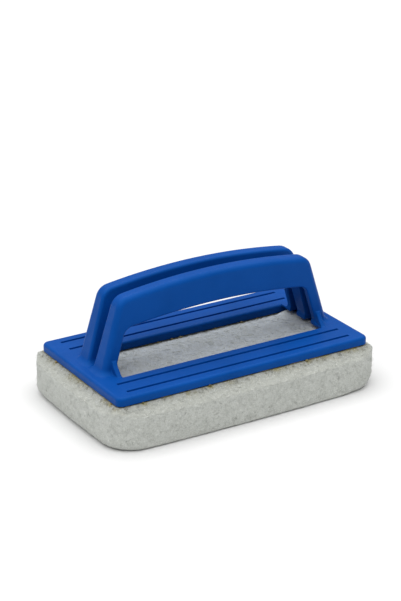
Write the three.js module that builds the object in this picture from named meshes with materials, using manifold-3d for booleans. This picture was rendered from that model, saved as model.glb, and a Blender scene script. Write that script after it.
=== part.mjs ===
// Handled scrub pad for washing and finishing grout: a moulded plastic holder, an open frame with
// a twin-ridge grip across it, glued to a thick non-woven pad.
//
// Millimetres. X runs along the tool, Y across it, and Z up from the surface that the pad stands on.
// The front is towards -Y. Left and right mirror each other, and so do front and back, except that
// only the front has gussets.

import * as THREE from "three";
import { mergeVertices } from "three/addons/utils/BufferGeometryUtils.js";
import Module from "manifold-3d";

const wasm = await Module();
wasm.setup();

// ---- Driving dimensions ----

// Pad
const PAD_LENGTH = 165.5;
const PAD_WIDTH = 99.5;
const PAD_HEIGHT = 22.5;
const PAD_CORNER = 16;
const PAD_BOW = 1.5;
const PAD_FOOT_EDGE = 3.5;

// Adhesive between the frame and the pad, drawn in from the frame's edges
const GLUE_THICKNESS = 0.5;
const GLUE_INSET = 0.4;

// Frame
const FRAME_LENGTH = 151.5;
const FRAME_WIDTH = 83.5;
const FRAME_HEIGHT = 4.6;
const FRAME_CORNER = 3.5;
const FRAME_EDGE = 1.8;
const WINDOW_HALF_LENGTH = 60.75;
const WINDOW_HALF_WIDTH = 18.5;
const WINDOW_CLEARANCE = 1;
const GROOVE_HALF_LENGTH = 67.3;
const GROOVE_OFFSETS = [25.5, 35.3];
const GROOVE_WIDTH = 1.8;
const GROOVE_DEPTH = 1.2;
const FOOT_COVER = 1.1;

// Handle, seen from the front, as two arches, one inside the other. Heights are above the
// underside of the frame, and footX is where a leg's line meets the top of the frame.
const OUTER_ARCH = { crest: 47.5, radius: 357, shoulder: 7.8, footX: 69.1 };
const GAP_ARCH = { crest: 30.9, radius: 380, shoulder: 6, footX: 61.6 };
const LEG_LEAN = 0.3;

// Handle, in section: two hollow ridges with a channel between them
const GRIP_HALF_WIDTH = 12.3;
const GRIP_DRAFT = 0.03;
const GRIP_EDGE = 3;
const CHANNEL_HALF_WIDTH = 2.4;
const CHANNEL_DRAFT = 0.044;
const CHANNEL_WALL = 1.3;
const WEB_THICKNESS = 1.8;
const CORE_HALF_WIDTH = 10;
const CORE_DRAFT = 0.03;
const CROWN_THICKNESS = 2.4;

// Gussets in front of the feet, with their roots buried in the leg and the frame
const GUSSET_SETBACK = 0.3;
const GUSSET_THICKNESS = 2.6;
const GUSSET_HEIGHT = 11.4;
const GUSSET_REACH = 19.5;
const GUSSET_TIP = 14;
const GUSSET_PULL = { y: 16, height: 7.4 };
const GUSSET_ROOT = 1;

// Smoothness of arcs and roundings
const ARC_STEPS = 12;
const EDGE_STEPS = 3;

// Cutting tools reach this far past what they cut
const OVERCUT = 4;

const HOLDER_BASE = PAD_HEIGHT + GLUE_THICKNESS;

// ---- Solids and cuts ----

// A closed geometry as a solid that can be joined and cut.
function solid(geometry) {
  const bare = new THREE.BufferGeometry();
  const source = geometry.index ? geometry.toNonIndexed() : geometry;
  bare.setAttribute("position", source.getAttribute("position").clone());
  const merged = mergeVertices(bare, 1e-4);
  return new wasm.Manifold(
    new wasm.Mesh({
      numProp: 3,
      vertProperties: merged.attributes.position.array,
      triVerts: new Uint32Array(merged.index.array),
    }),
  );
}

// A solid as a geometry with flat faces, for a mesh.
function geometryOf(body) {
  const { vertProperties, triVerts } = body.getMesh();
  const indexed = new THREE.BufferGeometry();
  indexed.setAttribute("position", new THREE.BufferAttribute(vertProperties, 3));
  indexed.setIndex(new THREE.BufferAttribute(triVerts, 1));
  const flat = indexed.toNonIndexed();
  flat.computeVertexNormals();
  return flat;
}

// Moves each point of a geometry to where place(point) puts it.
function reshape(geometry, place) {
  const positions = geometry.getAttribute("position");
  const point = new THREE.Vector3();
  for (let i = 0; i < positions.count; i += 1) {
    point.fromBufferAttribute(positions, i);
    place(point);
    positions.setXYZ(i, point.x, point.y, point.z);
  }
  return geometry;
}

// A shape drawn in plan, raised from one height to another, with its edges rounded by edge.
function raised(shape, from, to, edge = 0) {
  const geometry = new THREE.ExtrudeGeometry(shape, {
    depth: to - from - 2 * edge,
    curveSegments: ARC_STEPS,
    bevelEnabled: edge > 0,
    bevelThickness: edge,
    bevelSize: edge,
    bevelOffset: -edge,
    bevelSegments: EDGE_STEPS,
  });
  return geometry.translate(0, 0, from + edge);
}

// A shape drawn from the front as (x, height), carried across the tool from y = -half to +half.
function acrossTool(shape, half, edge = 0) {
  return raised(shape, -half, half, edge).rotateX(Math.PI / 2);
}

function block(lengthX, lengthY, lengthZ, x, y, z) {
  return solid(new THREE.BoxGeometry(lengthX, lengthY, lengthZ).translate(x, y, z));
}

// ---- Outlines ----

// A rounded rectangle whose sides bow out to length and width, by bow, at their middles.
function roundedRectangle(length, width, corner, bow = 0) {
  const x = length / 2 - bow;
  const y = width / 2 - bow;
  const shape = new THREE.Shape();
  const side = (endX, endY, pullX, pullY) => {
    if (bow > 0) shape.quadraticCurveTo(pullX, pullY, endX, endY);
    else shape.lineTo(endX, endY);
  };
  shape.moveTo(x, -y + corner);
  side(x, y - corner, x + 2 * bow, 0);
  shape.absarc(x - corner, y - corner, corner, 0, Math.PI / 2);
  side(-x + corner, y, 0, y + 2 * bow);
  shape.absarc(-x + corner, y - corner, corner, Math.PI / 2, Math.PI);
  side(-x, -y + corner, -x - 2 * bow, 0);
  shape.absarc(-x + corner, -y + corner, corner, Math.PI, 1.5 * Math.PI);
  side(x - corner, -y, 0, -y - 2 * bow);
  shape.absarc(x - corner, -y + corner, corner, 1.5 * Math.PI, 2 * Math.PI);
  return shape;
}

// An arch from the front, moved in by inset all round: two leaning legs, two round shoulders and
// a long flat arc. It runs down to the height of base.
function archOutline(arch, inset, base) {
  const lean = new THREE.Vector2(-LEG_LEAN, 1).normalize();
  const inward = new THREE.Vector2(-lean.y, lean.x);
  const foot = new THREE.Vector2(arch.footX, FRAME_HEIGHT).addScaledVector(inward, inset);
  const radius = arch.radius - inset;
  const shoulder = arch.shoulder - inset;
  const centre = new THREE.Vector2(0, arch.crest - arch.radius);

  // The shoulder's arc touches the leg's line and the inside of the crest's arc.
  const start = foot.clone().addScaledVector(inward, shoulder).sub(centre);
  const along = start.dot(lean);
  const climb = Math.sqrt(along ** 2 - start.lengthSq() + (radius - shoulder) ** 2) - along;
  const turn = start.clone().addScaledVector(lean, climb);
  const legAngle = Math.atan2(-inward.y, -inward.x);
  const crestAngle = turn.angle();
  turn.add(centre);

  const toe = foot.clone().addScaledVector(lean, (base - foot.y) / lean.y);
  const shape = new THREE.Shape();
  shape.moveTo(-toe.x, toe.y);
  shape.lineTo(toe.x, toe.y);
  shape.absarc(turn.x, turn.y, shoulder, legAngle, crestAngle);
  shape.absarc(centre.x, centre.y, radius, crestAngle, Math.PI - crestAngle);
  shape.absarc(-turn.x, turn.y, shoulder, Math.PI - crestAngle, Math.PI - legAngle);
  return shape;
}

// A gusset from the side, as (distance from the middle, height), with a hollow sloping edge.
function gussetOutline() {
  const root = GRIP_HALF_WIDTH - GUSSET_ROOT;
  const seat = FRAME_HEIGHT - GUSSET_ROOT;
  const shape = new THREE.Shape();
  shape.moveTo(root, seat);
  shape.lineTo(GUSSET_REACH, seat);
  shape.lineTo(GUSSET_REACH, FRAME_HEIGHT);
  shape.quadraticCurveTo(GUSSET_PULL.y, GUSSET_PULL.height, GUSSET_TIP, GUSSET_HEIGHT);
  shape.lineTo(root, GUSSET_HEIGHT);
  return shape;
}

// ---- The handle's section: how far each wall stands from the middle, by height ----

function gripHalfWidth(height) {
  return GRIP_HALF_WIDTH + GRIP_DRAFT * (OUTER_ARCH.crest - height);
}

function channelHalfWidth(height) {
  return CHANNEL_HALF_WIDTH + CHANNEL_DRAFT * Math.max(height - FRAME_HEIGHT, 0);
}

// ---- Parts of the holder, with the underside of the frame at zero height ----

function framePlate() {
  const outline = roundedRectangle(FRAME_LENGTH, FRAME_WIDTH, FRAME_CORNER);
  return solid(raised(outline, -OVERCUT, FRAME_HEIGHT, FRAME_EDGE));
}

// The grip and legs as one block, thicker towards the feet, as a moulding leaves its tool.
function archBlock() {
  const geometry = acrossTool(archOutline(OUTER_ARCH, 0, -OVERCUT), GRIP_HALF_WIDTH, GRIP_EDGE);
  reshape(geometry, (point) => {
    point.y *= gripHalfWidth(point.z) / GRIP_HALF_WIDTH;
  });
  return solid(geometry);
}

// The opening under the grip, down to the top of the frame.
function fingerGapCut() {
  return solid(acrossTool(archOutline(GAP_ARCH, 0, FRAME_HEIGHT), GRIP_HALF_WIDTH + OVERCUT));
}

// The window between the legs, flared at the top so that it leaves the rails' upper edges round.
// It clears the frame's top by less than would reach the leaning legs.
function windowCut() {
  const flare = WINDOW_HALF_WIDTH + FRAME_EDGE;
  const edgeHeight = FRAME_HEIGHT - FRAME_EDGE;
  const shape = new THREE.Shape();
  shape.moveTo(-WINDOW_HALF_WIDTH, -OVERCUT);
  shape.lineTo(WINDOW_HALF_WIDTH, -OVERCUT);
  shape.absarc(flare, edgeHeight, FRAME_EDGE, Math.PI, Math.PI / 2, true);
  shape.lineTo(flare, FRAME_HEIGHT + WINDOW_CLEARANCE);
  shape.lineTo(-flare, FRAME_HEIGHT + WINDOW_CLEARANCE);
  shape.absarc(-flare, edgeHeight, FRAME_EDGE, Math.PI / 2, 0, true);
  const geometry = raised(shape, -WINDOW_HALF_LENGTH, WINDOW_HALF_LENGTH);
  return solid(geometry.rotateX(Math.PI / 2).rotateZ(Math.PI / 2));
}

// The channel between the ridges, open along the outside of the arch down to the frame.
function channelCut() {
  const geometry = acrossTool(archOutline(OUTER_ARCH, -OVERCUT, FRAME_HEIGHT), 1);
  reshape(geometry, (point) => {
    point.y *= channelHalfWidth(point.z);
  });
  const web = acrossTool(archOutline(GAP_ARCH, -WEB_THICKNESS, 0), GRIP_HALF_WIDTH);
  return solid(geometry).subtract(solid(web));
}

// The hollow inside one ridge, open to the finger gap and down through the end of the frame.
function ridgeHollowCut(side) {
  const geometry = acrossTool(archOutline(OUTER_ARCH, CROWN_THICKNESS, -OVERCUT), 1);
  reshape(geometry, (point) => {
    const inner = channelHalfWidth(point.z) + CHANNEL_WALL;
    const outer = CORE_HALF_WIDTH - CORE_DRAFT * point.z;
    point.y = side * (inner + ((side * point.y + 1) / 2) * (outer - inner));
  });
  return solid(geometry);
}

// The frame's window carried on under both feet, below a thin cover that each foot stands on.
function footCut() {
  const under = solid(acrossTool(archOutline(OUTER_ARCH, CROWN_THICKNESS, -OVERCUT), WINDOW_HALF_WIDTH));
  const height = FRAME_HEIGHT - FOOT_COVER + 2 * OVERCUT;
  const level = block(2 * FRAME_LENGTH, FRAME_WIDTH, height, 0, 0, height / 2 - 2 * OVERCUT);
  return under.intersect(level);
}

function grooveCut(y) {
  const height = GROOVE_DEPTH + OVERCUT;
  return block(2 * GROOVE_HALF_LENGTH, GROOVE_WIDTH, height, 0, y, FRAME_HEIGHT + OVERCUT - height / 2);
}

// The gusset in front of the leg that side points to.
function gusset(side) {
  const middle = WINDOW_HALF_LENGTH + GUSSET_SETBACK + GUSSET_THICKNESS / 2;
  const geometry = raised(gussetOutline(), -GUSSET_THICKNESS / 2, GUSSET_THICKNESS / 2);
  geometry.rotateX(Math.PI / 2).rotateZ(-Math.PI / 2);
  return solid(geometry.translate(side * middle, 0, 0));
}

// ---- Pieces ----

function padHolder() {
  let body = framePlate().add(archBlock());
  body = body.subtract(fingerGapCut()).subtract(windowCut()).subtract(channelCut());
  body = body.subtract(footCut());
  for (const side of [-1, 1]) {
    body = body.subtract(ridgeHollowCut(side));
    for (const offset of GROOVE_OFFSETS) body = body.subtract(grooveCut(side * offset));
    body = body.add(gusset(side));
  }
  const underneath = block(2 * FRAME_LENGTH, 2 * FRAME_WIDTH, FRAME_LENGTH, 0, 0, -FRAME_LENGTH / 2);
  return geometryOf(body.subtract(underneath));
}

// A sheet of the frame's own outline, open where the frame's underside is open.
function adhesive() {
  const outline = roundedRectangle(
    FRAME_LENGTH - 2 * GLUE_INSET,
    FRAME_WIDTH - 2 * GLUE_INSET,
    FRAME_CORNER,
  );
  const footLine = archOutline(OUTER_ARCH, CROWN_THICKNESS, 0);
  const halfLength = Math.max(...footLine.getPoints().map((point) => point.x)) + GLUE_INSET;
  const halfWidth = WINDOW_HALF_WIDTH + GLUE_INSET;
  const opening = block(2 * halfLength, 2 * halfWidth, 2 * OVERCUT, 0, 0, 0);
  return geometryOf(solid(raised(outline, 0, GLUE_THICKNESS)).subtract(opening));
}

// The pad, rounded along the floor and cut off square at the top.
function scrubPad() {
  const outline = roundedRectangle(PAD_LENGTH, PAD_WIDTH, PAD_CORNER, PAD_BOW);
  const body = solid(raised(outline, 0, PAD_HEIGHT + PAD_FOOT_EDGE, PAD_FOOT_EDGE));
  const above = block(2 * PAD_LENGTH, 2 * PAD_WIDTH, PAD_HEIGHT, 0, 0, 1.5 * PAD_HEIGHT);
  return geometryOf(body.subtract(above));
}

// ---- The tool ----

function piece(name, geometry, height, look) {
  const mesh = new THREE.Mesh(geometry, new THREE.MeshStandardMaterial(look));
  mesh.name = name;
  mesh.position.z = height;
  return mesh;
}

const tool = new THREE.Group();
tool.add(
  piece("pad_holder", padHolder(), HOLDER_BASE, { color: 0x1b55ad, roughness: 0.42, metalness: 0 }),
  piece("adhesive_layer", adhesive(), PAD_HEIGHT, { color: 0xb08a3c, roughness: 0.5, metalness: 0 }),
  piece("scrub_pad", scrubPad(), 0, { color: 0xd2d5d2, roughness: 0.95, metalness: 0 }),
);

export default tool;
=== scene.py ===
"""A handled grout scrub pad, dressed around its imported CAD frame.

The tool is a satin blue moulding, an open frame under a twin-ridge grip, glued to a thick non-woven
pad. The moulding, the glue and the pad's smooth shape are each described by a function that gives
the distance of any point from the surface. One mesher turns such a function into a closed mesh, so
every edge and inside corner has a true rounding. The pad's surface is then moved in and out as
fibre, and its loose fibres are thin tubes. The pieces are worked out in millimetres, and add_mesh
scales them to metres.
"""

import math

import bpy
import numpy as np
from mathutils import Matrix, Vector


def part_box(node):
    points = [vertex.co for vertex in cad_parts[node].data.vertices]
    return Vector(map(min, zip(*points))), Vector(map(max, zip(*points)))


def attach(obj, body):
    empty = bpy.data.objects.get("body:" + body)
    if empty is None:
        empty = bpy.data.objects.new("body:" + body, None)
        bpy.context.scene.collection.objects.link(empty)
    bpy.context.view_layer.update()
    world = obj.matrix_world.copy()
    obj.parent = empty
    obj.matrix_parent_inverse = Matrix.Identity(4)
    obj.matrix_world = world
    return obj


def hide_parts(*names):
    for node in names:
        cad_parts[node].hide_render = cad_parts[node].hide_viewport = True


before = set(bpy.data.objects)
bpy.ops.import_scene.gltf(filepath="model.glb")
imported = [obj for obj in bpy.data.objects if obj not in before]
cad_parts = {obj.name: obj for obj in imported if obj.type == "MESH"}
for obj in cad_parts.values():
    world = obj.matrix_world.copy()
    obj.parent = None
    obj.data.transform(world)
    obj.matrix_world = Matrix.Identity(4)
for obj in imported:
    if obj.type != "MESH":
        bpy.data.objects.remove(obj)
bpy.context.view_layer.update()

MM = 0.001


# ---- Sizes, from the CAD frame's boxes ----

def size_of(node):
    """Length, width and height of a CAD node, then the height of its underside, in millimetres."""
    low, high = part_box(node)
    length, width, height = (high - low) / MM
    return length, width, height, low.z / MM


FRAME_LENGTH, FRAME_WIDTH, HOLDER_HEIGHT, HOLDER_BASE = size_of("pad_holder")
PAD_LENGTH, PAD_WIDTH, PAD_HEIGHT, PAD_BASE = size_of("scrub_pad")
_, _, GLUE_THICKNESS, GLUE_BASE = size_of("adhesive_layer")

# Frame
FRAME_HEIGHT = 4.6
FRAME_CORNER = 3.5
FRAME_EDGE = 1.8
FRAME_FOOT_EDGE = 0.3
WINDOW_HALF_LENGTH = 60.75
WINDOW_HALF_WIDTH = 18.5
WINDOW_EDGE = 1.8
WINDOW_END_EDGE = 0.3
GROOVE_HALF_LENGTH = 67.3
GROOVE_OFFSETS = (25.5, 35.3)
GROOVE_WIDTH = 1.8
GROOVE_DEPTH = 1.2
GROOVE_EDGE = 0.2

# Openings under the feet: the cover over them, and the window's half length together with them
FOOT_COVER = 1.1
FOOT_CORNER = 1.0
FOOT_HALF_LENGTH = 67.4

# Handle from the front: two arches, one inside the other, with heights above the frame's underside
OUTER_ARCH = {"crest": HOLDER_HEIGHT, "radius": 357.0, "shoulder": 7.8, "foot": 69.1}
GAP_ARCH = {"crest": 30.9, "radius": 380.0, "shoulder": 6.0, "foot": 61.6}
LEG_LEAN = 0.3

# Handle in section: two hollow ridges with a channel between them
GRIP_HALF_WIDTH = 12.3
GRIP_DRAFT = 0.03
GRIP_EDGE = 3.0
GAP_EDGE = 0.9
FOOT_FILLET = 3.0
CHANNEL_HALF_WIDTH = 2.4
CHANNEL_DRAFT = 0.044
CHANNEL_EDGE = 1.6
CHANNEL_CORNER = 1.0
CHANNEL_WALL = 1.3
WEB_THICKNESS = 1.8
CORE_HALF_WIDTH = 10.0
CORE_DRAFT = 0.03
CORE_CORNER = 0.8
CORE_EDGE = 0.35
CROWN_THICKNESS = 2.4

# Gussets in front of the feet, as (distance from the middle, height), with a hollow sloping edge.
# Each is carried on a little way inside the leg and inside the frame.
GUSSET_MIDDLE = WINDOW_HALF_LENGTH + 1.6
GUSSET_THICKNESS = 2.6
GUSSET_TOE = (19.5, FRAME_HEIGHT)
GUSSET_TIP = (14.0, 11.4)
GUSSET_HOLLOW = 26.0
GUSSET_EDGE = 0.5
GUSSET_IN_LEG = 3.0
GUSSET_IN_FRAME = 2.0

# Places along the holder, and heights on it, where its arches turn and its mesh has to be fine,
# and how far its leaning walls move sideways by halfway up
SHOULDER_PLACES = (52.0, 58.0)
CREST_HEIGHTS = (30.0, 44.0)
WALL_SHIFT = 0.7
HOLDER_MARGIN = 1.0
HOLDER_GROWTH = 0.25

# Pad. Wear adds to the rounding along the floor, more and more over the last WEAR_REACH.
PAD_CORNER = 16.0
PAD_BOW = 1.5
PAD_TOP_EDGE = 0.7
PAD_FOOT_EDGE = 1.8
LEFT_WEAR = 4.0
RIGHT_WEAR = 8.5
WEAR_REACH = 34.0
RIM_SLOPE = 0.55
PAD_STEP = 0.72

# Pad where it is free: it swells in the window, and more towards the openings under the feet
WINDOW_CROWN = 0.7
FOOT_RISE = 1.5
FOOT_RUN = 5.0
WINDOW_BLEND = 2.0
WINDOW_SMOOTHING = 0.35

# Pad where it is pressed: how much of its hollows is left under the frame and along the floor
FRAME_BLEND = 1.5
COVERED_HOLLOWS = 0.3
COVERED_DEPTH = 0.05
FLOOR_HOLLOWS = 0.4

# Fibre mass and its colour, as layers of noise: (height, size of a lump, seed)
FIBRE_LUMPS = ((0.15, 15.0, 11), (0.04, 5.0, 12))
FIBRE_TUFTS = ((0.06, 2.3, 13), (0.34, 0.9, 14))
FIBRE_PITS = ((1.0, 1.5, 15),)
PIT_START = 0.35
PIT_DEPTH = 0.6
FIBRE_SINK = 0.25
BLOTCHES = ((1.0, 6.0, 21), (0.6, 1.6, 22))
# The specks are painted shade, dark points like shadows in the fuzz beside the frame
SPECKS = ((4.0, 1.0, 23),)

# Glue stains and painted shade on the pad: how far below its top and how far from the frame they
# reach, and how strong each is, as (level, how much the blotches change it). The shade is a painted
# contact shadow along the frame's edges, with dark specks of painted shade beside them
STAIN_AND_SHADE_DROP = 3.0
STAIN_AND_SHADE_FADE = 2.0
STAIN_AND_SHADE_REACH = 1.5
SPECK_REACH = 2.2
SPECK_SPAN = 1.6
SPECK_START = 0.5
EDGE_GLUE = (0.1, 0.8)
BEAD_GLUE = (0.9, 1.0)
EDGE_SHADE_PAINT = (0.6, 0.5)
SPECK_SHADE_PAINT = (0.9, 1.0)

# Adhesive: a film drawn in from the frame's edges, and beads that were squeezed out. A bead's stain
# spreads along and across the pad by these parts of its radius.
GLUE_MARGIN = 2.3
GLUE_DRAW = 0.8
GLUE_EDGE = 0.2
GLUE_WANDER = ((0.55, 6.0, 31), (0.4, 1.9, 32))
BEADS = 20
BEAD_SEED = 33
BEAD_RADII = (0.4, 1.0)
BEAD_SPAN = 0.96
BEAD_HEIGHT = 0.2
BEAD_FLATNESS = 1.5
BEAD_FILLET = 0.3
BEAD_STAIN = (2.2, 1.3)

# Loose fibres: their number and shape, the share that stray up further, and how far they keep from
# the floor, from the frame, and from the pad's top where the frame covers it
STRANDS = 5600
STRAND_SEED = 41
STRAND_SIDES = 3
STRAND_STEPS = 5
STRAND_LENGTHS = (1.6, 4.6)
STRAND_RADII = (0.04, 0.07)
STRAND_LIFTS = (0.12, 0.55)
STRAND_BEND = 0.9
STRAND_BOW = 0.25
STRAND_BURIED = 0.12
STRAND_TIP = 0.35
STRAND_BLUNT = 0.08
STRAY_SHARE = 0.12
STRAY_LIFT = 0.6
STRAND_FLOOR_GAP = 2.0
STRAND_FRAME_GAP = 1.0
STRAND_TOP_GAP = 3.0
STRAND_LOWEST = 0.1
STEEPEST_UNDERSIDE = -0.3


# ---- Joining and cutting distances ----

def meet(a, b, edge):
    """What is inside both, with the edge between them rounded by edge."""
    rounded = np.hypot(np.maximum(a + edge, 0), np.maximum(b + edge, 0))
    return rounded + np.minimum(np.maximum(a, b), -edge)


def join(a, b, fillet):
    """What is inside either, with the corner between them filled by fillet."""
    return -meet(-a, -b, fillet)


def cut(a, b, edge):
    """What is inside a and outside b, with the mouth of the cut rounded by edge."""
    return meet(a, -b, edge)


def rectangle(x, y, half_length, half_width, corner):
    """Distance from a rounded rectangle about the origin."""
    over_x = np.abs(x) - half_length + corner
    over_y = np.abs(y) - half_width + corner
    outside = np.hypot(np.maximum(over_x, 0), np.maximum(over_y, 0))
    return outside + np.minimum(np.maximum(over_x, over_y), 0) - corner


# ---- Noise ----

LATTICE = 64


def noise(x, y, z, size, seed):
    """Smooth noise from -1 to 1, in lumps of about size."""
    lattice = np.random.default_rng(seed).uniform(-1, 1, (LATTICE,) * 3)
    whole, part = [], []
    for value in np.broadcast_arrays(x, y, z):
        scaled = value / size
        floor = np.floor(scaled)
        ramp = scaled - floor
        whole.append(floor.astype(int))
        part.append(ramp * ramp * (3 - 2 * ramp))
    total = np.zeros(whole[0].shape)
    for corner in np.ndindex(2, 2, 2):
        weight = 1.0
        for ramp, step in zip(part, corner):
            weight = weight * (ramp if step else 1 - ramp)
        place = tuple((i + step) % LATTICE for i, step in zip(whole, corner))
        total += weight * lattice[place]
    return total


def mottle(x, y, z, layers):
    """The sum of layers of noise, each given as (height, size, seed)."""
    return sum(height * noise(x, y, z, size, seed) for height, size, seed in layers)


# ---- Meshing a distance function ----

SETTLE_ROUNDS = 4
LEAST_STEEPNESS = 0.25


def even(low, high, margin, step):
    """Evenly spaced grid lines from low to high, and past both by the margin."""
    return np.arange(low - margin, high + margin + step, step)


def crowded(start, end, spots, coarse, growth):
    """Grid lines from start up to end, closer near each spot: (place, finest step there)."""
    lines = [start]
    while lines[-1] < end:
        here = lines[-1]
        steps = [fine + growth * max(abs(here - place) - fine, 0) for place, fine in spots]
        lines.append(here + min(coarse, *steps))
    return np.array(lines)


def mirrored(end, spots, coarse, growth):
    """Grid lines from -end to end, closer near each spot on both sides of zero."""
    half = crowded(0.0, end, spots, coarse, growth)[1:]
    return np.concatenate([-half[::-1], [0.0], half])


def slope_of(distance, points, step):
    """The distance's slope at each point, by central differences."""
    slope = np.empty_like(points)
    for axis in range(3):
        shift = np.zeros(3)
        shift[axis] = step
        ahead = distance(*(points + shift).T)
        behind = distance(*(points - shift).T)
        slope[:, axis] = (ahead - behind) / (2 * step)
    return slope


def cell_points(values, lines, cells):
    """For each crossed cell, the mean of the points where its edges cross the surface."""
    total = np.zeros((len(cells), 3))
    crossings = np.zeros((len(cells), 1))
    for axis in range(3):
        others = [a for a in range(3) if a != axis]
        for steps in np.ndindex(2, 2):
            near = cells.copy()
            near[:, others] += steps
            far = near.copy()
            far[:, axis] += 1
            a = values[tuple(near.T)]
            b = values[tuple(far.T)]
            crossed = (a < 0) != (b < 0)
            share = np.where(crossed, a / np.where(crossed, a - b, 1), 0)
            point = np.stack([lines[i][near[:, i]] for i in range(3)], 1)
            point[:, axis] += share * (lines[axis][far[:, axis]] - point[:, axis])
            total += point * crossed[:, None]
            crossings += crossed[:, None]
    return total / crossings


def cell_quads(inside, index):
    """One quad round each grid edge that the surface crosses, facing out."""
    quads = []
    for axis in range(3):
        b, c = (axis + 1) % 3, (axis + 2) % 3
        ahead = [slice(None)] * 3
        behind = [slice(None)] * 3
        ahead[axis] = slice(1, None)
        behind[axis] = slice(None, -1)
        change = inside[tuple(behind)].astype(int) - inside[tuple(ahead)].astype(int)
        for leaving in (1, -1):
            edges = np.argwhere(change == leaving)
            kept = np.ones(len(edges), bool)
            for other in (b, c):
                kept &= (edges[:, other] > 0) & (edges[:, other] < inside.shape[other] - 1)
            edges = edges[kept]
            ring = []
            for step_b, step_c in ((0, 0), (-1, 0), (-1, -1), (0, -1)):
                cell = edges.copy()
                cell[:, b] += step_b
                cell[:, c] += step_c
                ring.append(index[tuple(cell.T)])
            quad = np.stack(ring, 1)
            quads.append(quad if leaving == 1 else quad[:, ::-1])
    return np.concatenate(quads)


def surface(distance, lines, settle_step=0.02, normal_step=0.06):
    """Points, quads and normals of the closed surface where distance is zero."""
    values = distance(*np.meshgrid(*lines, indexing="ij"))
    inside = values < 0
    filled = np.zeros(tuple(n - 1 for n in inside.shape), int)
    for corner in np.ndindex(2, 2, 2):
        part = tuple(slice(s, s + n) for s, n in zip(corner, filled.shape))
        filled += inside[part]
    crossed = (filled > 0) & (filled < 8)
    cells = np.argwhere(crossed)
    index = np.full(crossed.shape, -1)
    index[tuple(cells.T)] = np.arange(len(cells))

    # Each point settles onto the surface down the distance's slope, and stays near its own cell.
    points = cell_points(values, lines, cells)
    room = np.stack([np.diff(lines[a])[cells[:, a]] for a in range(3)], 1)
    first = points.copy()
    for _ in range(SETTLE_ROUNDS):
        slope = slope_of(distance, points, settle_step)
        steepness = np.maximum((slope**2).sum(1), LEAST_STEEPNESS)
        points -= slope * (distance(*points.T) / steepness)[:, None]
        points = np.clip(points, first - room / 2, first + room / 2)
    normals = slope_of(distance, points, normal_step)
    normals /= np.maximum(np.linalg.norm(normals, axis=1, keepdims=True), 1e-9)
    return points, cell_quads(inside, index), normals


def add_mesh(name, points, faces, material, normals=None):
    """A smooth mesh object from points in millimetres."""
    mesh = bpy.data.meshes.new(name)
    mesh.from_pydata((points * MM).tolist(), [], faces)
    mesh.polygons.foreach_set("use_smooth", np.ones(len(mesh.polygons), bool))
    if normals is not None:
        mesh.normals_split_custom_set_from_vertices(normals.tolist())
    mesh.materials.append(material)
    piece = bpy.data.objects.new(name, mesh)
    bpy.context.scene.collection.objects.link(piece)
    return piece


def add_value(piece, name, values):
    """Stores one number at each point of a piece, for its material."""
    layer = piece.data.attributes.new(name, "FLOAT", "POINT")
    layer.data.foreach_set("value", np.asarray(values, dtype=np.float32))


# ---- Holder ----

def arch_distance(x, height, arch):
    """Distance from an arch seen from the front: leaning legs, round shoulders and a long crest."""
    x = np.abs(x)
    outward = np.array([1.0, LEG_LEAN]) / math.hypot(1.0, LEG_LEAN)
    upward = np.array([-outward[1], outward[0]])
    centre = np.array([0.0, arch["crest"] - arch["radius"]])
    shoulder = arch["shoulder"]

    # The shoulder's centre lies as far inside the leg's line as inside the crest's arc.
    start = np.array([arch["foot"], FRAME_HEIGHT]) - outward * shoulder - centre
    rise = start @ upward
    reach = (arch["radius"] - shoulder) ** 2 - start @ start
    turn = start + upward * (math.sqrt(rise**2 + reach) - rise)
    crestward = turn / np.linalg.norm(turn)
    turn = turn + centre

    leg = (x - arch["foot"]) * outward[0] + (height - FRAME_HEIGHT) * outward[1]
    crest = np.hypot(x, height - centre[1]) - arch["radius"]
    from_x, from_z = x - turn[0], height - turn[1]
    past_leg = outward[0] * from_z - outward[1] * from_x > 0
    before_crest = from_x * crestward[1] - from_z * crestward[0] > 0
    corner = np.hypot(from_x, from_z) - shoulder
    return np.where(past_leg & before_crest, corner, np.maximum(leg, crest))


def grip_half_width(height):
    """Half the grip's width, which grows a little towards the frame."""
    return GRIP_HALF_WIDTH + GRIP_DRAFT * (HOLDER_HEIGHT - height)


def channel_half_width(height):
    """Half the channel's width, which grows a little towards the crest."""
    return CHANNEL_HALF_WIDTH + CHANNEL_DRAFT * np.maximum(height - FRAME_HEIGHT, 0)


def plate_distance(x, y, height):
    """The frame, with rounded upper edges, and its window, which has sharper edges at its ends."""
    outline = rectangle(x, y, FRAME_LENGTH / 2, FRAME_WIDTH / 2, FRAME_CORNER)
    plate = meet(outline, height - FRAME_HEIGHT, FRAME_EDGE)
    rails = cut(plate, np.abs(y) - WINDOW_HALF_WIDTH, WINDOW_EDGE)
    ends = cut(plate, np.abs(x) - WINDOW_HALF_LENGTH, WINDOW_END_EDGE)
    return meet(np.minimum(rails, ends), -height, FRAME_FOOT_EDGE)


def handle_distance(x, y, height):
    """The legs and grip, cut by the finger gap and by the channel along the outside."""
    sides = np.abs(y) - grip_half_width(height)
    handle = meet(arch_distance(x, height, OUTER_ARCH), sides, GRIP_EDGE)
    gap = arch_distance(x, height, GAP_ARCH)
    handle = cut(handle, gap, GAP_EDGE)
    channel = meet(np.abs(y) - channel_half_width(height), WEB_THICKNESS - gap, CHANNEL_CORNER)
    return np.maximum(cut(handle, channel, CHANNEL_EDGE), -height)


def hollow_distance(x, y, height):
    """The hollow inside each ridge, open to the finger gap and down through the frame's end."""
    inner = channel_half_width(height) + CHANNEL_WALL
    outer = CORE_HALF_WIDTH - CORE_DRAFT * height
    slot = np.abs(np.abs(y) - (inner + outer) / 2) - (outer - inner) / 2
    return meet(slot, arch_distance(x, height, OUTER_ARCH) + CROWN_THICKNESS, CORE_CORNER)


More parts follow.
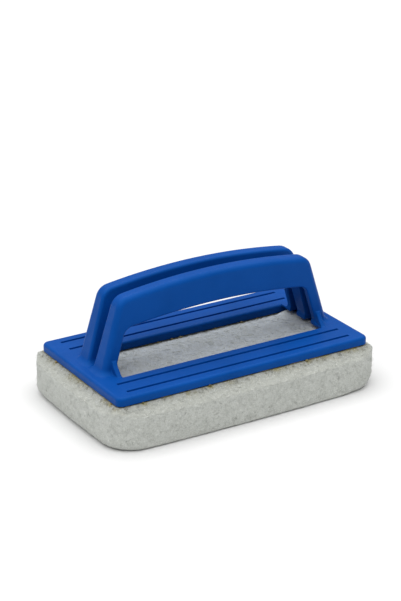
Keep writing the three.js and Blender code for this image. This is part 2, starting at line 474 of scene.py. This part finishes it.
def foot_distance(x, y, height):
    """The window, carried on under each foot, below a thin cover that the foot stands on."""
    ends = arch_distance(x, height, OUTER_ARCH) + CROWN_THICKNESS
    under = meet(np.abs(y) - WINDOW_HALF_WIDTH, ends, FOOT_CORNER)
    return np.maximum(under, height - FRAME_HEIGHT + FOOT_COVER)


def gusset_distance(x, y, height):
    """The fin in front of each foot, hollowed by a large circle that runs from its toe to its tip."""
    toe, tip = np.array(GUSSET_TOE), np.array(GUSSET_TIP)
    chord = tip - toe
    away = np.array([chord[1], -chord[0]]) / np.linalg.norm(chord)
    centre = (toe + tip) / 2 + away * math.sqrt(GUSSET_HOLLOW**2 - (chord @ chord) / 4)
    hollow = GUSSET_HOLLOW - np.hypot(-y - centre[0], height - centre[1])
    profile = np.maximum(hollow, np.maximum(height - tip[1], -y - toe[0]))
    profile = np.maximum(profile, GUSSET_TIP[0] - GUSSET_IN_LEG + y)
    profile = np.maximum(profile, FRAME_HEIGHT - GUSSET_IN_FRAME - height)
    return meet(profile, np.abs(np.abs(x) - GUSSET_MIDDLE) - GUSSET_THICKNESS / 2, GUSSET_EDGE)


def groove_distance(x, y, height):
    """The four shallow grooves along the frame, with square ends."""
    nearest = np.minimum(*(np.abs(np.abs(y) - offset) for offset in GROOVE_OFFSETS))
    slot = rectangle(x, nearest, GROOVE_HALF_LENGTH, GROOVE_WIDTH / 2, GROOVE_EDGE)
    return meet(slot, FRAME_HEIGHT - GROOVE_DEPTH - height, GROOVE_EDGE)


def holder_distance(x, y, z):
    """The whole moulding: frame and handle joined, then cut, with the gussets added last."""
    height = z - HOLDER_BASE
    body = join(plate_distance(x, y, height), handle_distance(x, y, height), FOOT_FILLET)
    body = cut(body, hollow_distance(x, y, height), CORE_EDGE)
    body = cut(body, foot_distance(x, y, height), CORE_EDGE)
    body = cut(body, groove_distance(x, y, height), GROOVE_EDGE)
    return join(body, gusset_distance(x, y, height), GUSSET_EDGE)


def holder_lines():
    """Grid lines that crowd together where the moulding has an edge or a wall."""
    along = mirrored(
        FRAME_LENGTH / 2 + HOLDER_MARGIN,
        [
            *((place, 0.6) for place in SHOULDER_PLACES),
            (WINDOW_HALF_LENGTH, 0.3),
            (GUSSET_MIDDLE - GUSSET_THICKNESS / 2, 0.28),
            (GUSSET_MIDDLE + GUSSET_THICKNESS / 2, 0.28),
            (GROOVE_HALF_LENGTH, 0.3),
            (FRAME_LENGTH / 2, 0.35),
        ],
        coarse=3.0,
        growth=HOLDER_GROWTH,
    )
    grooves = [
        (offset + side * GROOVE_WIDTH / 2, 0.18) for offset in GROOVE_OFFSETS for side in (-1, 1)
    ]
    across = mirrored(
        FRAME_WIDTH / 2 + HOLDER_MARGIN,
        [
            (CHANNEL_HALF_WIDTH + WALL_SHIFT, 0.35),
            (CHANNEL_HALF_WIDTH + CHANNEL_WALL + WALL_SHIFT, 0.35),
            (CORE_HALF_WIDTH - WALL_SHIFT, 0.35),
            (GRIP_HALF_WIDTH, 0.35),
            (WINDOW_HALF_WIDTH, 0.3),
            (GUSSET_TOE[0], 0.4),
            *grooves,
            (FRAME_WIDTH / 2, 0.3),
        ],
        coarse=1.6,
        growth=HOLDER_GROWTH,
    )
    upward = crowded(
        -HOLDER_MARGIN,
        HOLDER_HEIGHT + HOLDER_MARGIN,
        [
            (0.0, 0.2),
            (FRAME_HEIGHT - 0.4, 0.2),
            (GUSSET_TIP[1], 0.45),
            *((height, 0.5) for height in CREST_HEIGHTS),
        ],
        coarse=0.9,
        growth=HOLDER_GROWTH,
    )
    return along, across, upward + HOLDER_BASE


def frame_overhang(x, y):
    """Distance in plan from the frame's underside: negative under it, positive beside it."""
    outside = rectangle(x, y, FRAME_LENGTH / 2, FRAME_WIDTH / 2, FRAME_CORNER)
    return np.maximum(outside, -foot_distance(x, y, 0.0))


# ---- Adhesive ----

def bead_places():
    """Where glue was squeezed out: places round the frame's outside and its window, with sizes."""
    random = np.random.default_rng(BEAD_SEED)
    beads = []
    for _ in range(BEADS):
        half_length, half_width = random.choice(
            [(FRAME_LENGTH / 2, FRAME_WIDTH / 2), (FOOT_HALF_LENGTH, WINDOW_HALF_WIDTH)]
        )
        share = random.uniform(-BEAD_SPAN, BEAD_SPAN)
        sign = random.choice([-1, 1])
        on_long_side = random.random() < half_length / (half_length + half_width)
        if on_long_side:
            place = (share * half_length, sign * half_width)
        else:
            place = (sign * half_length, share * half_width)
        beads.append((*place, random.uniform(*BEAD_RADII)))
    return beads


def bead_stain(x, y):
    """How much glue soaked into the pad round the beads, from 0 to 1."""
    stain = np.zeros_like(x)
    along, across = BEAD_STAIN
    for bead_x, bead_y, size in bead_places():
        spread = np.hypot((x - bead_x) / (along * size), (y - bead_y) / (across * size))
        stain = np.maximum(stain, np.exp(-spread * spread))
    return stain


def adhesive_distance(x, y, z):
    """An uneven film under the rails, with beads along its edges."""
    film = frame_overhang(x, y) - (mottle(x, y, 0.0, GLUE_WANDER) - GLUE_DRAW)
    layer = np.abs(z - GLUE_BASE - GLUE_THICKNESS / 2) - GLUE_THICKNESS / 2
    film = meet(film, layer, GLUE_EDGE)
    for bead_x, bead_y, size in bead_places():
        rise = BEAD_FLATNESS * (z - GLUE_BASE - BEAD_HEIGHT)
        from_middle = np.hypot(np.hypot(x - bead_x, y - bead_y), rise)
        film = join(film, from_middle - size, BEAD_FILLET)
    return film


def adhesive_lines():
    """Grid lines that reach past the frame by enough for the beads."""
    along = even(-FRAME_LENGTH / 2, FRAME_LENGTH / 2, margin=GLUE_MARGIN, step=0.55)
    edges = [(WINDOW_HALF_WIDTH, 0.4), (FRAME_WIDTH / 2, 0.4)]
    across = mirrored(FRAME_WIDTH / 2 + GLUE_MARGIN, edges, coarse=0.9, growth=0.3)
    upward = even(GLUE_BASE, GLUE_BASE + GLUE_THICKNESS, margin=1.03, step=0.16)
    return along, across, upward


# ---- Pad ----

def foot_edge(x):
    """The rounding along the floor, which wear has made larger towards the pad's ends."""
    near_end = np.clip((np.abs(x) - PAD_LENGTH / 2) / WEAR_REACH + 1, 0, 1)
    return PAD_FOOT_EDGE + np.where(x > 0, RIGHT_WEAR, LEFT_WEAR) * near_end**2


def pad_outline(x, y):
    """Distance from the pad's outline in plan, a rounded rectangle with bowed sides."""
    half_length, half_width = PAD_LENGTH / 2, PAD_WIDTH / 2
    bowed_x = np.abs(x) - PAD_BOW * (1 - (y / half_width) ** 2)
    bowed_y = np.abs(y) - PAD_BOW * (1 - (x / half_length) ** 2)
    return rectangle(bowed_x, bowed_y, half_length - PAD_BOW, half_width - PAD_BOW, PAD_CORNER)


def pad_top(x, y):
    """The height of the pad's top, which hangs down beside the frame."""
    beside = np.maximum(np.abs(x) - FRAME_LENGTH / 2, np.abs(y) - FRAME_WIDTH / 2)
    return PAD_HEIGHT - RIM_SLOPE * np.maximum(beside, 0)


def pad_distance(x, y, z):
    """The pad's smooth outer shape, cut sharp at the top and worn round along the floor."""
    pad = meet(pad_outline(x, y), z - pad_top(x, y), PAD_TOP_EDGE)
    return meet(pad, PAD_BASE - z, foot_edge(x))


def pad_lines():
    """Even grid lines, since the fibre relief covers the pad evenly."""
    along = even(-PAD_LENGTH / 2, PAD_LENGTH / 2, margin=1.0, step=PAD_STEP)
    across = even(-PAD_WIDTH / 2, PAD_WIDTH / 2, margin=1.0, step=PAD_STEP)
    upward = even(PAD_BASE, PAD_HEIGHT, margin=1.1, step=PAD_STEP)
    return along, across, upward


def fibre_relief(x, y, z):
    """Height of the fibre mass over the pad's smooth shape: lumps, tufts, and pits between them."""
    lumps = mottle(x, y, z, FIBRE_LUMPS)
    tufts = mottle(x, y, z, FIBRE_TUFTS)
    pits = np.clip(mottle(x, y, z, FIBRE_PITS) - PIT_START, 0, 1)
    return lumps + tufts - PIT_DEPTH * pits - FIBRE_SINK


def pad_height(x, y, z, top, underside, covered, in_window):
    """The relief: full where the pad is free, and only hollows where something presses on it."""
    relief = fibre_relief(x, y, z)
    hollows = np.minimum(relief, 0)
    under_foot = np.clip((np.abs(x) - WINDOW_HALF_LENGTH + FOOT_RUN) / FOOT_RUN, 0, 1)
    height = relief + top * in_window * (WINDOW_CROWN + FOOT_RISE * under_foot)
    height = height * (1 - covered) + covered * (COVERED_HOLLOWS * hollows - COVERED_DEPTH)
    height = height - WINDOW_SMOOTHING * top * in_window * relief
    return height * (1 - underside) + underside * FLOOR_HOLLOWS * hollows


def patchy(blotch, level, change):
    """A level that the blotches raise and lower."""
    return level + change * blotch


def stain_and_shade_shares(x, y, z, clear, window):
    """How strongly glue stains and painted shade colour the pad beside the frame's edges, each from 0
    to 1.
    The shade is a painted contact shadow along the edges, with specks of painted shade beside them.
    """
    blotch = mottle(x, y, z, BLOTCHES)
    specks = np.clip(mottle(x, y, z, SPECKS) - SPECK_START, 0, 1)
    specks = specks * np.clip(patchy(blotch, *SPECK_SHADE_PAINT), 0, 1)
    upper = np.clip((z - pad_top(x, y) + STAIN_AND_SHADE_DROP) / STAIN_AND_SHADE_FADE, 0, 1)
    open_end = np.where(window < 0, np.clip(WINDOW_HALF_LENGTH - np.abs(x), 0, 1), 1)
    near = open_end * np.exp(-np.maximum(clear, 0) / STAIN_AND_SHADE_REACH)
    around = open_end * np.clip(SPECK_SPAN - clear / SPECK_REACH, 0, 1)
    glue = near * patchy(blotch, *EDGE_GLUE) + bead_stain(x, y) * patchy(blotch, *BEAD_GLUE)
    # Painted shade: a contact shadow fading out from the frame's edges, and specks of shade beside
    # them
    painted_edge_shade = near * patchy(blotch, *EDGE_SHADE_PAINT) + around * specks
    return upper * np.clip(glue, 0, 1), upper * np.clip(painted_edge_shade, 0, 1)


def pad_surface():
    """The pad's points and faces, with four numbers from 0 to 1 at each point for its colour."""
    points, quads, normals = surface(pad_distance, pad_lines())
    x, y, z = points.T
    top = np.clip(normals[:, 2], 0, 1)
    underside = np.clip(-normals[:, 2], 0, 1)
    clear = frame_overhang(x, y)
    covered = top * (1 - np.clip(clear / FRAME_BLEND, 0, 1))
    window = rectangle(x, y, FOOT_HALF_LENGTH, WINDOW_HALF_WIDTH, FOOT_CORNER)
    in_window = np.clip(-window / WINDOW_BLEND, 0, 1)

    # The point values belong to the smooth shape, so they are worked out before it is moved.
    stain, painted_edge_shade = stain_and_shade_shares(x, y, z, clear, window)
    shares = {
        "stain": stain,
        # Painted shade beside the frame's edges, with specks of it
        "painted_edge_shade": painted_edge_shade,
        # Painted shade: tops outside the window are greyed to hold back the light from above
        "painted_top_shade": top * (1 - in_window),
        # Painted reflection: the window's top is tinted blue for light thrown back by the plastic
        "painted_blue_bounce": top * in_window,
    }
    height = pad_height(x, y, z, top, underside, covered, in_window)
    points = points + normals * height[:, None]
    points[:, 2] = np.maximum(points[:, 2], PAD_BASE)
    return points, quads, shares


# ---- Loose fibres ----

def strand_roots(points, quads, random):
    """Where the fibres lie, spread evenly over the pad's open faces, and which way is out there."""
    corners = points[quads]
    middle = corners.mean(1)
    normal = np.cross(corners[:, 2] - corners[:, 0], corners[:, 3] - corners[:, 1])
    area = np.linalg.norm(normal, axis=1)
    normal /= np.maximum(area, 1e-9)[:, None]
    x, y, z = middle.T
    open_face = (normal[:, 2] > STEEPEST_UNDERSIDE) & (z > STRAND_FLOOR_GAP)
    open_face &= (frame_overhang(x, y) > STRAND_FRAME_GAP) | (z < PAD_HEIGHT - STRAND_TOP_GAP)
    chance = area * open_face
    chosen = random.choice(len(quads), STRANDS, p=chance / chance.sum())
    return middle[chosen], normal[chosen]


def strand_faces():
    """The faces of all the tubes: quads round each one, and a triangle over each of its ends."""
    sides = []
    for step in range(STRAND_STEPS):
        low, high = step * STRAND_SIDES, (step + 1) * STRAND_SIDES
        for corner in range(STRAND_SIDES):
            after = (corner + 1) % STRAND_SIDES
            sides.append((low + corner, low + after, high + after, high + corner))
    last = STRAND_STEPS * STRAND_SIDES
    ends = [(2, 1, 0), (last, last + 1, last + 2)]
    first = np.arange(STRANDS)[:, None, None] * (STRAND_STEPS + 1) * STRAND_SIDES
    faces = []
    for loops in (sides, ends):
        faces += (np.array(loops)[None] + first).reshape(-1, len(loops[0])).tolist()
    return faces


def strand_mesh(points, quads):
    """Short loose fibres on the pad: thin closed tubes with tapered, buried ends."""
    random = np.random.default_rng(STRAND_SEED)
    start, up = strand_roots(points, quads, random)
    heading = random.normal(size=(STRANDS, 3))
    heading -= up * (heading * up).sum(1, keepdims=True)
    heading /= np.linalg.norm(heading, axis=1, keepdims=True)
    side = np.cross(up, heading)
    length = random.uniform(*STRAND_LENGTHS, (STRANDS, 1))
    bend = random.uniform(-STRAND_BEND, STRAND_BEND, (STRANDS, 1))
    lift = random.uniform(*STRAND_LIFTS, (STRANDS, 1))
    lift = lift + (random.random((STRANDS, 1)) < STRAY_SHARE) * STRAY_LIFT
    radius = random.uniform(*STRAND_RADII, (STRANDS, 1))

    rings = []
    for step in range(STRAND_STEPS + 1):
        share = step / STRAND_STEPS
        along = heading * (share - 0.5) * length
        across = side * bend * length * STRAND_BOW * math.sin(math.pi * share)
        raised = up * (lift * math.sin(math.pi * share) - STRAND_BURIED)
        centre = start + along + across + raised
        fullness = math.sin(math.pi * min(max(share, STRAND_BLUNT), 1 - STRAND_BLUNT))
        taper = STRAND_TIP + (1 - STRAND_TIP) * fullness
        for corner in range(STRAND_SIDES):
            turn = 2 * math.pi * corner / STRAND_SIDES
            offset = side * math.cos(turn) + up * math.sin(turn)
            rings.append(centre + offset * radius * taper)
    vertices = np.stack(rings, 1).reshape(-1, 3)
    vertices[:, 2] = np.maximum(vertices[:, 2], PAD_BASE + STRAND_LOWEST)
    return vertices, strand_faces()


# ---- Materials ----

PLASTIC_DEEP = (0.0015, 0.056, 0.275)
PLASTIC_PALE = (0.0025, 0.064, 0.31)
PLASTIC_SCUFF = (0.03, 0.16, 0.45)
PLASTIC_SHINE = (0.2, 0.6, 1.0, 1)
FIBRE_PALE = (0.540, 0.558, 0.528)
FIBRE_DULL = (0.523, 0.542, 0.510)
FIBRE_PIT_SHADE = (0.36, 0.37, 0.33)
FIBRE_GLINT = (0.86, 0.87, 0.84)
LOOSE_FIBRE_LIGHTNESS = 1.06
GLUE_OLIVE = (0.13, 0.12, 0.035)
GLUE_AMBER = (0.27, 0.18, 0.045)
GLUE_DARK = (0.035, 0.03, 0.012)

# The pad's point values and the colour that each brings in, laid one over another in this order.
# Only the stain is the pad's own colour; the rest are painted light: a blue reflection of the
# plastic in the window, painted shade on the top outside it, and painted shade beside the frame.
FIBRE_TONES = (
    ("painted_blue_bounce", (0.47, 0.51, 0.55)),
    ("painted_top_shade", (0.35, 0.36, 0.33)),
    ("painted_edge_shade", (0.13, 0.13, 0.11)),
    ("stain", (0.26, 0.22, 0.07)),
)


def new_material(name):
    """A material with its nodes, its links and its shader."""
    material = bpy.data.materials.new(name)
    material.use_nodes = True
    nodes = material.node_tree.nodes
    return material, nodes, material.node_tree.links, nodes["Principled BSDF"]


def add_noise(nodes, links, scale, detail=3.0, roughness=0.55):
    """Noise over the object's own coordinates."""
    place = nodes.new("ShaderNodeTexCoord")
    texture = nodes.new("ShaderNodeTexNoise")
    texture.inputs["Scale"].default_value = scale
    texture.inputs["Detail"].default_value = detail
    texture.inputs["Roughness"].default_value = roughness
    links.new(place.outputs["Object"], texture.inputs["Vector"])
    return texture.outputs["Fac"]


def add_ramp(nodes, links, value, stops):
    """Maps a value to grey levels, given as (place, level) stops."""
    ramp = nodes.new("ShaderNodeValToRGB")
    for element, (place, level) in zip(ramp.color_ramp.elements, stops):
        element.position = place
        element.color = (level, level, level, 1)
    links.new(value, ramp.inputs["Fac"])
    return ramp.outputs["Color"]


def add_mix(nodes, links, share, a, b):
    """Mixes two colours, each a fixed colour or another node's output."""
    mix = nodes.new("ShaderNodeMix")
    mix.data_type = "RGBA"
    links.new(share, mix.inputs["Factor"])
    for socket, colour in ((mix.inputs["A"], a), (mix.inputs["B"], b)):
        if isinstance(colour, tuple):
            socket.default_value = (*colour, 1)
        else:
            links.new(colour, socket)
    return mix.outputs["Result"]


def add_bump(nodes, links, shader, layers):
    """Chains bumps, each (height, strength, distance in metres), into the shader's normal."""
    normal = None
    for height, strength, distance in layers:
        bump = nodes.new("ShaderNodeBump")
        bump.inputs["Strength"].default_value = strength
        bump.inputs["Distance"].default_value = distance
        links.new(height, bump.inputs["Height"])
        if normal is not None:
            links.new(normal, bump.inputs["Normal"])
        normal = bump.outputs["Normal"]
    links.new(normal, shader.inputs["Normal"])


def point_value(nodes, name):
    """A number that is stored at each point of the mesh."""
    attribute = nodes.new("ShaderNodeAttribute")
    attribute.attribute_name = name
    return attribute.outputs["Fac"]


def plastic_material():
    """Blue polypropylene: satin, with a fine moulded grain, faint flow marks and a few scuffs."""
    material, nodes, links, shader = new_material("satin_blue_plastic")
    shader.inputs["Specular IOR Level"].default_value = 0.16
    shader.inputs["Specular Tint"].default_value = PLASTIC_SHINE
    flow = add_ramp(nodes, links, add_noise(nodes, links, 38), [(0.35, 0), (0.68, 1)])
    scuffs = add_noise(nodes, links, 900, detail=5, roughness=0.7)
    scuffs = add_ramp(nodes, links, scuffs, [(0.66, 0), (0.80, 0.5)])
    blue = add_mix(nodes, links, flow, PLASTIC_DEEP, PLASTIC_PALE)
    colour = add_mix(nodes, links, scuffs, blue, PLASTIC_SCUFF)
    links.new(colour, shader.inputs["Base Color"])
    satin = add_ramp(nodes, links, add_noise(nodes, links, 240), [(0.3, 0.40), (0.7, 0.52)])
    links.new(satin, shader.inputs["Roughness"])
    grain = add_noise(nodes, links, 2600, detail=4)
    waves = add_noise(nodes, links, 120)
    add_bump(nodes, links, shader, [(grain, 0.25, 0.00005), (waves, 0.3, 0.00012)])
    return material


def fibre_material(name, lightness=1.0):
    """Off-white synthetic fibre: mottled, and stained by glue beside the frame. Painted light greys
    its top outside the window, shades its pores and the frame's edges, adds glints, and tints the
    window blue.
    """
    material, nodes, links, shader = new_material(name)
    shader.inputs["Roughness"].default_value = 0.92
    shader.inputs["Specular IOR Level"].default_value = 0.15
    shader.inputs["Sheen Weight"].default_value = 0.1
    pale = tuple(lightness * channel for channel in FIBRE_PALE)
    dull = tuple(lightness * channel for channel in FIBRE_DULL)
    cloud = add_ramp(nodes, links, add_noise(nodes, links, 90), [(0.3, 0), (0.7, 1)])
    colour = add_mix(nodes, links, cloud, dull, pale)
    for share_name, tone in FIBRE_TONES:
        colour = add_mix(nodes, links, point_value(nodes, share_name), colour, tone)
    grain = add_noise(nodes, links, 2000, detail=2, roughness=0.7)
    # Painted shade in the pits of the grain, darkest where the bump is lowest
    painted_pit_shade = add_ramp(nodes, links, grain, [(0.34, 0.7), (0.52, 0)])
    colour = add_mix(nodes, links, painted_pit_shade, colour, FIBRE_PIT_SHADE)
    # Painted glints: light points scattered over the fibre
    painted_glints = add_ramp(nodes, links, add_noise(nodes, links, 1500), [(0.55, 0), (0.75, 0.45)])
    colour = add_mix(nodes, links, painted_glints, colour, FIBRE_GLINT)
    links.new(colour, shader.inputs["Base Color"])
    add_bump(nodes, links, shader, [(grain, 0.5, 0.0004)])
    return material


def adhesive_material():
    """Set contact glue: amber and olive in patches, with dark specks."""
    material, nodes, links, shader = new_material("amber_adhesive")
    shader.inputs["Roughness"].default_value = 0.45
    patches = add_ramp(nodes, links, add_noise(nodes, links, 260), [(0.4, 0), (0.62, 1)])
    specks = add_ramp(nodes, links, add_noise(nodes, links, 1500), [(0.55, 0), (0.7, 1)])
    colour = add_mix(nodes, links, patches, GLUE_OLIVE, GLUE_AMBER)
    colour = add_mix(nodes, links, specks, colour, GLUE_DARK)
    links.new(colour, shader.inputs["Base Color"])
    add_bump(nodes, links, shader, [(add_noise(nodes, links, 700), 0.6, 0.0003)])
    return material


# ---- Camera, light and floor, in metres and degrees ----

CAMERA_AZIMUTH = -31.4
CAMERA_ELEVATION = 22.415
CAMERA_DISTANCE = 0.9716
CAMERA_AIM = Vector((0.0004, 0.0057, 0.0473))
CAMERA_LENS = 110.7

SKY_LIGHT = 0.28
KEY_LIGHT = 3.95
KEY_FROM = Vector((-0.08, 0.0, 1.0))
KEY_SPREAD = 100.0

# The floor lies just under the pad, so that the two faces don't share a plane.
FLOOR_SIZE = 6.0
FLOOR_DROP = 0.05 * MM
FLOOR_COLOUR = (0.7, 0.7, 0.7, 1)
FLOOR_ROUGHNESS = 0.9


def add_aimed(name, data, direction):
    """An object in the scene that looks along a direction."""
    aimed = bpy.data.objects.new(name, data)
    aimed.rotation_mode = "QUATERNION"
    aimed.rotation_quaternion = direction.to_track_quat("-Z", "Y")
    bpy.context.scene.collection.objects.link(aimed)
    return aimed


def add_camera():
    """The camera, at the photo's viewing angle and distance."""
    azimuth, elevation = math.radians(CAMERA_AZIMUTH), math.radians(CAMERA_ELEVATION)
    level = math.cos(elevation)
    back = Vector(
        (math.sin(azimuth) * level, -math.cos(azimuth) * level, math.sin(elevation))
    )
    data = bpy.data.cameras.new("camera")
    data.lens = CAMERA_LENS
    camera = add_aimed("camera", data, -back)
    camera.location = CAMERA_AIM + back * CAMERA_DISTANCE
    bpy.context.scene.camera = camera


def add_studio():
    """A white surround, one very soft light from above and a little to the left, and a pale floor."""
    scene = bpy.context.scene
    scene.view_settings.view_transform = "Standard"
    world = bpy.data.worlds.new("studio")
    world.use_nodes = True
    background = world.node_tree.nodes["Background"]
    background.inputs["Color"].default_value = (1, 1, 1, 1)
    background.inputs["Strength"].default_value = SKY_LIGHT
    scene.world = world

    data = bpy.data.lights.new("key", "SUN")
    data.energy = KEY_LIGHT
    data.angle = math.radians(KEY_SPREAD)
    add_aimed("key", data, -KEY_FROM)

    bpy.ops.mesh.primitive_plane_add(size=FLOOR_SIZE, location=(0, 0, -FLOOR_DROP))
    floor = bpy.context.object
    floor.name = "floor"
    material, _, _, shader = new_material("pale_floor")
    shader.inputs["Base Color"].default_value = FLOOR_COLOUR
    shader.inputs["Roughness"].default_value = FLOOR_ROUGHNESS
    floor.data.materials.append(material)


# ---- Pieces ----

def add_holder():
    """The blue moulding."""
    points, quads, normals = surface(holder_distance, holder_lines())
    holder = add_mesh("holder", points, quads, plastic_material(), normals)
    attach(holder, "root")
    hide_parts("pad_holder")


def add_adhesive():
    """The film of glue and its beads."""
    points, quads, _ = surface(adhesive_distance, adhesive_lines(), settle_step=0.03)
    adhesive = add_mesh("adhesive", points, quads, adhesive_material())
    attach(adhesive, "root")
    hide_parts("adhesive_layer")


def add_pad():
    """The fibre mass. Returns its points and faces, for the loose fibres."""
    points, quads, shares = pad_surface()
    pad = add_mesh("pad", points, quads, fibre_material("fibre_mass"))
    for share_name, values in shares.items():
        add_value(pad, share_name, values)
    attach(pad, "root")
    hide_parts("scrub_pad")
    return points, quads


def add_fibres(points, quads):
    """The loose fibres on the pad."""
    vertices, faces = strand_mesh(points, quads)
    material = fibre_material("loose_fibre", LOOSE_FIBRE_LIGHTNESS)
    fibres = add_mesh("pad_fibres", vertices, faces, material)
    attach(fibres, "root")


add_camera()
add_studio()
add_holder()
add_adhesive()
add_fibres(*add_pad())
